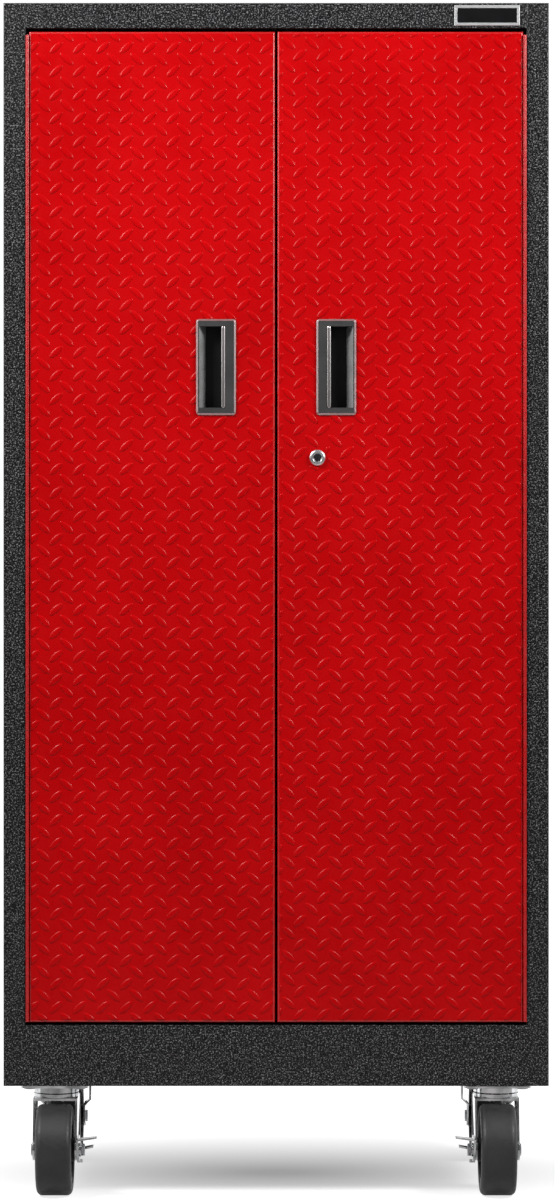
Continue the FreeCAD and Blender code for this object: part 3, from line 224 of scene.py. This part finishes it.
finishes = {
    "frame_paint": hammeredEnamel(),
    "door_paint": redPowderCoat("redPowderCoat", gloss=0.1, coat=0.05),
    "shelf_paint": satinCharcoal(),
    "zinc_steel": platedSteel("zincPlate", (0.45, 0.46, 0.48), roughness=(0.26, 0.40),
                              grainPerMetre=260),
    "hinge_pin_steel": platedSteel("hingeWire", (0.5, 0.5, 0.5), roughness=(0.25, 0.4),
                                   grainPerMetre=300),
    "caster_chrome": platedSteel("casterPlate", (0.74, 0.75, 0.76),
                                 roughness=(0.07, 0.18), grainPerMetre=180, dullness=0.4),
    "lock_chrome": platedSteel("lockChrome", (0.80, 0.79, 0.79), roughness=(0.30, 0.36),
                               grainPerMetre=220),
    "pull_plastic": mouldedPlastic("pullPlastic", (0.042, 0.041, 0.042), roughness=0.36,
                                   grainPerMetre=1500, grainDepth=6e-5, gloss=0.4),
    "magnet_housing": mouldedPlastic("magnetHousing", (0.02, 0.02, 0.02), roughness=0.5,
                                     grainPerMetre=1200, grainDepth=5e-5),
    "badge_silver": brushedAluminium(),
    "badge_dark": mouldedPlastic("badgeLacquer", (0.006, 0.006, 0.0065), roughness=0.16,
                                 grainPerMetre=700, grainDepth=1e-5, gloss=0.2),
    "tyre_rubber": mouldedPlastic("tyreRubber", (0.019, 0.019, 0.0195), roughness=0.5,
                                  grainPerMetre=700, grainDepth=5e-5, gloss=0.6),
    "wheel_plastic": mouldedPlastic("wheelCore", (0.015, 0.015, 0.016), roughness=0.4,
                                    grainPerMetre=900, grainDepth=6e-5),
}
# folded edges and hinges carry a thicker, glossier coat than the flat of the doors
edgeCoat = redPowderCoat("redEdgeCoat", gloss=0.9, coat=0.4)
treadCoat = redPowderCoat("redTreadCoat", gloss=0.09, coat=0.02)
# darker than the pull's own plastic: painted shade on the faces deep in each pull's recess
pullRecessPaintedShade = mouldedPlastic("pullRecessPaintedShade", (0.013, 0.013, 0.0135), roughness=0.5,
                         grainPerMetre=1500, grainDepth=6e-5, gloss=0.2)
# pale grey plastic on the sloped wall of each pull's recess: a painted highlight
pullSlopePaintedHighlight = mouldedPlastic("pullSlopePaintedHighlight", (0.23, 0.235, 0.23), roughness=0.3,
                           grainPerMetre=1500, grainDepth=6e-5, gloss=0.6)
plugFace = platedSteel("lockPlugFace", (0.17, 0.17, 0.175), roughness=(0.16, 0.3),
                       grainPerMetre=300)
satinTrim = platedSteel("satinTrim", (0.60, 0.56, 0.56), roughness=(0.29, 0.30),
                        grainPerMetre=70, dullness=0.95, ripple=0.000002)
slotOf = {part["node"]: part["material_slot"] for part in frame["record"]["subparts"]}
for nodeName, cadNode in cadNodes.items():
    finish = finishes[slotOf[nodeName]]
    if nodeName.startswith("hinge_leaf_") and slotOf[nodeName] == "door_paint":
        finish = edgeCoat
    elif nodeName == "lock_plug":
        finish = plugFace
    cadNode.data.materials.clear()
    cadNode.data.materials.append(finish)
print("finishes made:", len(finishes))


# softened copies of the folded and moulded pieces

cleaning = {"weldWithin": 2e-6, "flatWithin": math.radians(0.4)}


def addObject(name, data):
    made = bpy.data.objects.new(name, data)
    bpy.context.scene.collection.objects.link(made)
    return made


def plainMesh(piece):
    graph = bpy.context.evaluated_depsgraph_get()
    finished = bpy.data.meshes.new_from_object(piece.evaluated_get(graph))
    piece.modifiers.clear()
    piece.data = finished


def cleanCopy(nodeName):
    mesh = cadNodes[nodeName].data.copy()
    shape = bmesh.new()
    shape.from_mesh(mesh)
    bmesh.ops.remove_doubles(shape, verts=shape.verts, dist=cleaning["weldWithin"])
    bmesh.ops.dissolve_limit(shape, angle_limit=cleaning["flatWithin"],
                             verts=shape.verts, edges=shape.edges)
    shape.to_mesh(mesh)
    shape.free()
    mesh.shade_smooth()
    return mesh


def softenEdges(nodeName, width, segments=2, corner=math.radians(28)):
    piece = addObject(f"{nodeName}_soft", cleanCopy(nodeName))
    rounding = piece.modifiers.new("rounding", "BEVEL")
    rounding.width = width
    rounding.segments = segments
    rounding.limit_method = "ANGLE"
    rounding.angle_limit = corner
    weighting = piece.modifiers.new("weighting", "WEIGHTED_NORMAL")
    weighting.keep_sharp = True
    plainMesh(piece)
    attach(piece, cadNodes[nodeName]["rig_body"])
    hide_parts(nodeName)
    return piece


# widths of the rounded edges, in millimetres
softened = {
    "side_panel_left": 0.4, "side_panel_right": 0.4, "top_panel": 0.5, "base_skirt": 0.5,
    "bottom_panel": 0.5, "door_skin_left": 0.3, "door_skin_right": 0.3,
    "pull_left": 0.8, "pull_right": 0.8, "badge_border": 0.25, "lock_housing": 0.4,
    "swivel_fork_left": 0.9, "swivel_fork_right": 0.9, "rigid_fork_left": 0.9,
    "rigid_fork_right": 0.9, "swivel_plate_left": 0.7, "swivel_plate_right": 0.7,
    "brake_lever_left": 0.7, "brake_lever_right": 0.7, "swivel_axle_left": 0.6,
    "swivel_axle_right": 0.6, "rigid_axles": 0.6, "caster_bolts": 0.5,
}
softPieces = {nodeName: softenEdges(nodeName, width * mm)
              for nodeName, width in softened.items()}


# limits of the faces' normals, and how far in from a pull's front the rim ends
faceLimits = {"doorFront": -0.995, "slope": (-0.8, -0.2), "slopeSide": -0.5,
              "rim": (-0.97, 0.1), "rimDepth": 3 * mm}


def refinish(piece, material, wanted):
    piece.data.materials.append(material)
    for face in piece.data.polygons:
        if wanted(face.center, face.normal):
            face.material_index = len(piece.data.materials) - 1


def within(number, limits):
    return limits[0] < number < limits[1]


for sideName, side in sides:
    refinish(softPieces[f"door_skin_{sideName}"], edgeCoat,
             lambda middle, normal: normal.y > faceLimits["doorFront"])
    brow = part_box(f"pull_{sideName}")[0].y + faceLimits["rimDepth"]
    handle = softPieces[f"pull_{sideName}"]
    # faces deep in the recess take the darker plastic: painted shade
    refinish(handle, pullRecessPaintedShade, lambda middle, normal: middle.y > brow)
    # the sloped wall takes the pale plastic: a painted highlight
    refinish(handle, pullSlopePaintedHighlight,
             lambda middle, normal: middle.y > brow
             and within(normal.y, faceLimits["slope"])
             and normal.x * side < faceLimits["slopeSide"])
    refinish(handle, satinTrim,
             lambda middle, normal: middle.y < brow
             and within(normal.y, faceLimits["rim"]))
print("softened pieces:", len(softened))


# rounded grip bar along the mouth of each pull, and the domed ring of the lock

gripBar = {"width": 5.6 * mm, "rise": 1.6 * mm, "fromInnerEdge": 17.6 * mm,
           "fromEnds": 9.5 * mm, "sunk": 0.4 * mm, "steps": 10}
mergeWithin = 1e-6


def bridgeRows(shape, pairs):
    for first, second in pairs:
        for corners in zip(first, first[1:], second[1:], second):
            shape.faces.new(corners)
        back = shape.faces.new((first[-1], first[0], second[0], second[-1]))
        for edge in back.edges:
            edge.smooth = False


def finishPiece(name, shape, material, body):
    bmesh.ops.remove_doubles(shape, verts=shape.verts, dist=mergeWithin)
    bmesh.ops.recalc_face_normals(shape, faces=shape.faces)
    mesh = bpy.data.meshes.new(name)
    shape.to_mesh(mesh)
    shape.free()
    mesh.shade_smooth()
    mesh.materials.append(material)
    piece = addObject(name, mesh)
    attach(piece, body)


def addGrip(sideName, side):
    low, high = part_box(f"pull_{sideName}")
    centre = (high.x if side < 0 else low.x) + side * gripBar["fromInnerEdge"]
    top, bottom = high.z - gripBar["fromEnds"], low.z + gripBar["fromEnds"]
    half, steps, sunk = gripBar["width"] / 2, gripBar["steps"], gripBar["sunk"]
    turns = [math.pi / 2 * index / steps for index in range(steps + 1)]
    profile = [(top - half * (1 - math.cos(turn)), math.sin(turn)) for turn in turns]
    profile += [(bottom + half * (1 - math.sin(turn)), math.cos(turn)) for turn in turns]
    arc = [math.pi * step / steps for step in range(steps + 1)]
    shape = bmesh.new()
    rows = [[shape.verts.new((centre - half * reach * math.cos(lean),
                              low.y + sunk
                              - (gripBar["rise"] + sunk) * reach * math.sin(lean),
                              level)) for lean in arc] for level, reach in profile]
    bridgeRows(shape, zip(rows[1:], rows))
    finishPiece(f"pull_grip_{sideName}", shape, satinTrim, f"{sideName}_door")


bezelDome = {"inner": 6.4 * mm, "outer": 11.0 * mm, "rise": 1.6 * mm, "sunk": 0.3 * mm,
             "skew": 2.2, "turns": 48, "steps": 10}


def addBezel():
    low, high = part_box("lock_housing")
    across, level = (low.x + high.x) / 2, (low.z + high.z) / 2
    breadth = bezelDome["outer"] - bezelDome["inner"]
    steps, turns, sunk = bezelDome["steps"], bezelDome["turns"], bezelDome["sunk"]
    shape = bmesh.new()
    rings = []
    for turn in range(turns):
        angle = 2 * math.pi * turn / turns
        ring = []
        for step in range(steps + 1):
            lean = math.pi * step / steps
            # the crest lies near the inner edge, so most of the ring faces outward
            outward = (0.5 + math.cos(lean) / 2) ** bezelDome["skew"]
            radius = bezelDome["inner"] + breadth * outward
            ring.append(shape.verts.new((
                across + radius * math.cos(angle),
                low.y + sunk - (bezelDome["rise"] + sunk) * math.sin(lean),
                level + radius * math.sin(angle))))
        rings.append(ring)
    bridgeRows(shape, zip(rings, rings[1:] + rings[:1]))
    finishPiece("lock_bezel_dome", shape, finishes["lock_chrome"], "right_door")


for sideName, side in sides:
    addGrip(sideName, side)
addBezel()
print("grip bars and bezel added")


# raised tread on the door faces

tread = {
    "pitch": 32.7 * mm, "length": 25.6 * mm, "width": 9.6 * mm, "height": 1.1 * mm,
    "lean": math.radians(43), "outlinePoints": 14, "point": 0.16, "endTaper": 1.6,
    # the rings of one lozenge from its foot up, as parts of its outline and its height
    "levels": ((1.0, -0.10), (0.85, 0.43), (0.67, 0.82), (0.47, 1.0)),
    # where the backward-leaning lozenges sit between the others, in pitches
    "stagger": {"left": (0.463, 0.5, 0), "right": (0.518, 0.5, 0)},
    "edgeMargin": 3.2 * mm, "tuck": 1 * mm, "spareRows": 3,
    # centre of one forward-leaning lozenge from the door's top outer corner
    "left": (37.6 * mm, 22.4 * mm), "right": (17.9 * mm, 32.5 * mm),
}


def buildLozenge():
    count = tread["outlinePoints"]
    rings = []
    shape = bmesh.new()
    for scale, height in tread["levels"]:
        ring = []
        for index in range(count):
            turn = 2 * math.pi * index / count
            along = math.cos(turn)
            across = math.sin(turn) * (1 - tread["point"] * along * along)
            inset = (1 - scale) * tread["width"] / 2
            ring.append(shape.verts.new((
                along * (tread["length"] / 2 - inset * tread["endTaper"]),
                across * (tread["width"] / 2 - inset),
                height * tread["height"])))
        rings.append(ring)
    for lower, upper in zip(rings, rings[1:]):
        for index in range(count):
            after = (index + 1) % count
            shape.faces.new((lower[index], lower[after], upper[after], upper[index]))
    shape.faces.new(rings[-1])
    base = shape.faces.new(list(reversed(rings[0])))
    for edge in base.edges:
        edge.smooth = False
    mesh = bpy.data.meshes.new("lozenge")
    shape.to_mesh(mesh)
    shape.free()
    mesh.shade_smooth()
    return bpy.data.objects.new("lozenge", mesh)


def treadTree(material):
    tree = bpy.data.node_groups.new("treadPattern", "GeometryNodeTree")
    faceIn = tree.interface.new_socket
    inputs = {}
    for name, kind in (("Lozenge", "NodeSocketObject"), ("Columns", "NodeSocketInt"),
                       ("Rows", "NodeSocketInt"), ("Pitch", "NodeSocketFloat"),
                       ("Lean", "NodeSocketFloat"), ("Stagger", "NodeSocketVector"),
                       ("Origin", "NodeSocketVector")):
        inputs[name] = faceIn(name=name, in_out="INPUT", socket_type=kind).identifier
    faceIn(name="Geometry", in_out="OUTPUT", socket_type="NodeSocketGeometry")
    given = tree.nodes.new("NodeGroupInput").outputs
    lozenge = addNode(tree, "GeometryNodeObjectInfo", Object=given["Lozenge"])
    spans = [compute(tree, "MULTIPLY", compute(tree, "SUBTRACT", given[name], 1),
                     given["Pitch"]) for name in ("Columns", "Rows")]
    joined = tree.nodes.new("GeometryNodeJoinGeometry")
    for direction in (1, -1):
        grid = addNode(tree, "GeometryNodeMeshGrid", Size_X=spans[0], Size_Y=spans[1],
                       Vertices_X=given["Columns"], Vertices_Y=given["Rows"])
        shift = addNode(tree, "ShaderNodeVectorMath", {"operation": "SCALE"},
                        Vector=given["Stagger"] if direction < 0 else (0, 0, 0),
                        Scale=given["Pitch"])
        moved = addNode(tree, "GeometryNodeTransform", Geometry=grid.outputs["Mesh"],
                        Translation=shift.outputs[0])
        facing = addNode(tree, "ShaderNodeCombineXYZ",
                         Z=compute(tree, "MULTIPLY", given["Lean"], direction))
        placed = addNode(tree, "GeometryNodeInstanceOnPoints",
                         Points=moved.outputs["Geometry"],
                         Instance=lozenge.outputs["Geometry"],
                         Rotation=facing.outputs[0])
        tree.links.new(placed.outputs["Instances"], joined.inputs[0])
    upright = addNode(tree, "GeometryNodeTransform", Geometry=joined.outputs[0],
                      Translation=given["Origin"], Rotation=(math.pi / 2, 0, 0))
    real = addNode(tree, "GeometryNodeRealizeInstances",
                   Geometry=upright.outputs["Geometry"])
    coated = addNode(tree, "GeometryNodeSetMaterial", Geometry=real.outputs[0],
                     Material=material)
    out = tree.nodes.new("NodeGroupOutput")
    tree.links.new(coated.outputs[0], out.inputs[0])
    return tree, inputs


lozengePattern = buildLozenge()
treadNodes, treadInputs = treadTree(treadCoat)


def cutAway(shape, geometry, spot, outward):
    cut = bmesh.ops.bisect_plane(shape, geom=geometry, plane_co=spot, plane_no=outward,
                                 clear_outer=True)
    rim = [item for item in cut["geom_cut"] if isinstance(item, bmesh.types.BMEdge)]
    bmesh.ops.holes_fill(shape, edges=rim, sides=0)


def trimTread(piece, low, high, holes):
    shape = bmesh.new()
    shape.from_mesh(piece.data)
    shape.verts.ensure_lookup_table()
    perLozenge = tread["outlinePoints"] * len(tread["levels"])
    buried, crossing = [], []
    for first in range(0, len(shape.verts), perLozenge):
        corners = shape.verts[first:first + perLozenge]
        across = [vert.co.x for vert in corners]
        upright = [vert.co.z for vert in corners]
        for holeLow, holeHigh in holes:
            inside = (min(across) > holeLow[0] and max(across) < holeHigh[0]
                      and min(upright) > holeLow[1] and max(upright) < holeHigh[1])
            clear = (max(across) < holeLow[0] or min(across) > holeHigh[0]
                     or max(upright) < holeLow[1] or min(upright) > holeHigh[1])
            middle = (sum(across) / perLozenge, sum(upright) / perLozenge)
            if inside:
                buried.extend(corners)
            elif not clear:
                # cut by the side of the hole that the lozenge reaches out over most
                _, axis, way = min(
                    (way * (limits[axis] - middle[axis]), axis, way)
                    for way, limits in ((-1, holeLow), (1, holeHigh)) for axis in (0, 1))
                limit = (holeHigh if way > 0 else holeLow)[axis]
                crossing.append((corners, axis, way, limit))
    for corners, axis, way, limit in crossing:
        spot, inward = Vector(), Vector()
        spot[axis * 2] = limit
        inward[axis * 2] = -way
        edges = {edge for vert in corners for edge in vert.link_edges}
        faces = {face for vert in corners for face in vert.link_faces}
        cutAway(shape, [*corners, *edges, *faces], spot, inward)
    bmesh.ops.delete(shape, geom=buried, context="VERTS")
    for spot, outward in (((low[0], 0, 0), (-1, 0, 0)), ((high[0], 0, 0), (1, 0, 0)),
                          ((0, 0, low[1]), (0, 0, -1)), ((0, 0, high[1]), (0, 0, 1))):
        cutAway(shape, [*shape.verts, *shape.edges, *shape.faces], Vector(spot),
                Vector(outward))
    shape.to_mesh(piece.data)
    shape.free()


def gridAlong(low, high, start):
    pitch = tread["pitch"]
    count = math.ceil((high - low) / pitch) + tread["spareRows"]
    first = start - math.ceil((start - low) / pitch + 1) * pitch
    return count, first + (count - 1) * pitch / 2


def addTread(sideName):
    skinLow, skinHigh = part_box(f"door_skin_{sideName}")
    pullLow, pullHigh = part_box(f"pull_{sideName}")
    inward, down = tread[sideName]
    startX = skinLow.x + inward if sideName == "left" else skinHigh.x - inward
    columns, middleX = gridAlong(skinLow.x, skinHigh.x, startX)
    rows, middleZ = gridAlong(skinLow.z, skinHigh.z, skinHigh.z - down)
    piece = addObject(f"door_tread_{sideName}", bpy.data.meshes.new("tread"))
    pattern = piece.modifiers.new("pattern", "NODES")
    pattern.node_group = treadNodes
    for name, setting in (("Lozenge", lozengePattern), ("Columns", columns),
                          ("Rows", rows), ("Pitch", tread["pitch"]),
                          ("Lean", tread["lean"]),
                          ("Stagger", tread["stagger"][sideName]),
                          ("Origin", (middleX, skinLow.y, middleZ))):
        pattern[treadInputs[name]] = setting
    plainMesh(piece)
    margin, tuck = tread["edgeMargin"], tread["tuck"]
    holes = [((pullLow.x + tuck, pullLow.z + tuck), (pullHigh.x - tuck, pullHigh.z - tuck))]
    if sideName == "right":
        lockLow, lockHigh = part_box("lock_housing")
        holes.append(((lockLow.x, lockLow.z), (lockHigh.x, lockHigh.z)))
    trimTread(piece, (skinLow.x + margin, skinLow.z + margin),
              (skinHigh.x - margin, skinHigh.z - margin), holes)
    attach(piece, f"{sideName}_door")
    print("tread", sideName, len(piece.data.polygons), "faces")


for sideName, _ in sides:
    addTread(sideName)
bpy.data.objects.remove(lozengePattern)


# studio: pale floor, soft lamps and the camera

studio = {
    "distance": 5.5, "eye": (0.0019, 0.834), "seenHeight": 1.6763, "sensorWidth": 36,
    "farthest": 100, "world": 0.147, "backdropTurn": (-0.35, -0.05), "floorReach": 30,
    "floorColour": (0.55, 0.55, 0.55), "floorTurn": (-0.25, -0.1),
    # the floor's glow is dimmer near the object, out to glowReach: a painted shadow
    "floorGlow": (0.33, 0.97), "glowReach": (0.02, 0.40),
    "paintedShadowMiddle": (0, 0.03, 0), "paintedShadowSpread": (0.55, 1, 1),
}
lamps = {
    "keyLampLeft": {"place": (-1.75, -1.5, 2.75), "target": (0, -0.2, 2.2),
                    "size": (0.9, 0.8), "power": 73},
    "keyLampRight": {"place": (2.0, -1.5, 2.45), "target": (0, -0.2, 2.2),
                     "size": (0.9, 0.8), "power": 65},
    "leftStrip": {"place": (-2.3, -0.9, 2.0), "target": (0, -0.2, 1.4),
                  "size": (0.5, 1.5), "power": 9},
    "rightStrip": {"place": (2.3, -0.9, 2.0), "target": (0, -0.2, 1.4),
                   "size": (0.5, 1.5), "power": 5},
}


def whiteToCamera(tree, backdrop):
    path = tree.nodes.new("ShaderNodeLightPath").outputs
    glossy = compute(tree, "MULTIPLY", path["Is Glossy Ray"], backdrop)
    seen = compute(tree, "MAXIMUM", path["Is Camera Ray"], path["Is Transmission Ray"])
    return compute(tree, "MAXIMUM", seen, glossy)


def joinShaders(tree, kind, *givens):
    joined = tree.nodes.new(kind)
    for socket, given in zip(joined.inputs, givens):
        tree.links.new(given, socket)
    return joined.outputs[0]


def makeWorld():
    world = bpy.data.worlds.new("studioWorld")
    bpy.context.scene.world = world
    world.use_nodes = True
    tree = world.node_tree
    soft = tree.nodes["Background"]
    soft.inputs[0].default_value = (1, 1, 1, 1)
    soft.inputs[1].default_value = studio["world"]
    plain = addNode(tree, "ShaderNodeBackground", Color=(1, 1, 1, 1), Strength=1.0)
    # gloss shows the white backdrop behind and beside the object
    heading = addNode(tree, "ShaderNodeSeparateXYZ", Vector=addNode(
        tree, "ShaderNodeTexCoord").outputs["Generated"])
    backdrop = spread(tree, heading.outputs["Y"], 0.0, 1.0, *studio["backdropTurn"])
    mixed = joinShaders(tree, "ShaderNodeMixShader", whiteToCamera(tree, backdrop),
                        soft.outputs[0], plain.outputs[0])
    tree.links.new(mixed, tree.nodes["World Output"].inputs[0])


def makeFloor():
    mesh = bpy.data.meshes.new("studioFloor")
    reach = studio["floorReach"]
    mesh.from_pydata([(-reach, -reach, 0), (reach, -reach, 0), (reach, reach, 0),
                      (-reach, reach, 0)], [], [(0, 1, 2, 3)])
    floor = addObject("studioFloor", mesh)
    material, tree, surface, place = startMaterial(
        "paleFloor", studio["floorColour"], Roughness=0.9, Specular_IOR_Level=0.0)
    # the glow fades towards the middle: a painted shadow under the object, on top of the
    # shadow the lamps cast on the floor
    vectors = "ShaderNodeVectorMath"
    fromMiddle = compute(tree, "SUBTRACT", place, studio["paintedShadowMiddle"], kind=vectors)
    squeezed = compute(tree, "MULTIPLY", fromMiddle, studio["paintedShadowSpread"], kind=vectors)
    away = compute(tree, "LENGTH", squeezed, kind=vectors, output="Value")
    glow = addNode(tree, "ShaderNodeEmission", Color=(1, 1, 1, 1), Strength=spread(
        tree, away, *studio["floorGlow"], *studio["glowReach"]))
    lit = joinShaders(tree, "ShaderNodeAddShader", surface.outputs[0], glow.outputs[0])
    depth = addNode(tree, "ShaderNodeSeparateXYZ", Vector=place)
    behind = spread(tree, depth.outputs["Y"], 0.0, 1.0, *studio["floorTurn"])
    mixed = joinShaders(tree, "ShaderNodeMixShader", whiteToCamera(tree, behind),
                        surface.outputs[0], lit)
    tree.links.new(mixed, tree.nodes["Material Output"].inputs[0])
    mesh.materials.append(material)


def addLamp(name, place, target, size, power):
    light = bpy.data.lights.new(name, "AREA")
    light.shape = "RECTANGLE"
    light.size, light.size_y = size
    light.energy = power
    lamp = addObject(name, light)
    lamp.location = place
    aim = Vector(target) - Vector(place)
    lamp.rotation_euler = aim.to_track_quat("-Z", "Y").to_euler()


def makeCamera(front):
    lens = bpy.data.cameras.new("studioCamera")
    lens.sensor_width = studio["sensorWidth"]
    lens.lens = lens.sensor_width * studio["distance"] / studio["seenHeight"]
    lens.clip_end = studio["farthest"]
    camera = addObject("studioCamera", lens)
    across, height = studio["eye"]
    camera.location = (across, front - studio["distance"], height)
    camera.rotation_euler = (math.pi / 2, 0, 0)
    bpy.context.scene.camera = camera


makeWorld()
makeFloor()
for lampName, lamp in lamps.items():
    addLamp(lampName, **lamp)
makeCamera(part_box("side_panel_left")[0].y)
bpy.context.scene.view_settings.view_transform = "Standard"
print("studio ready")
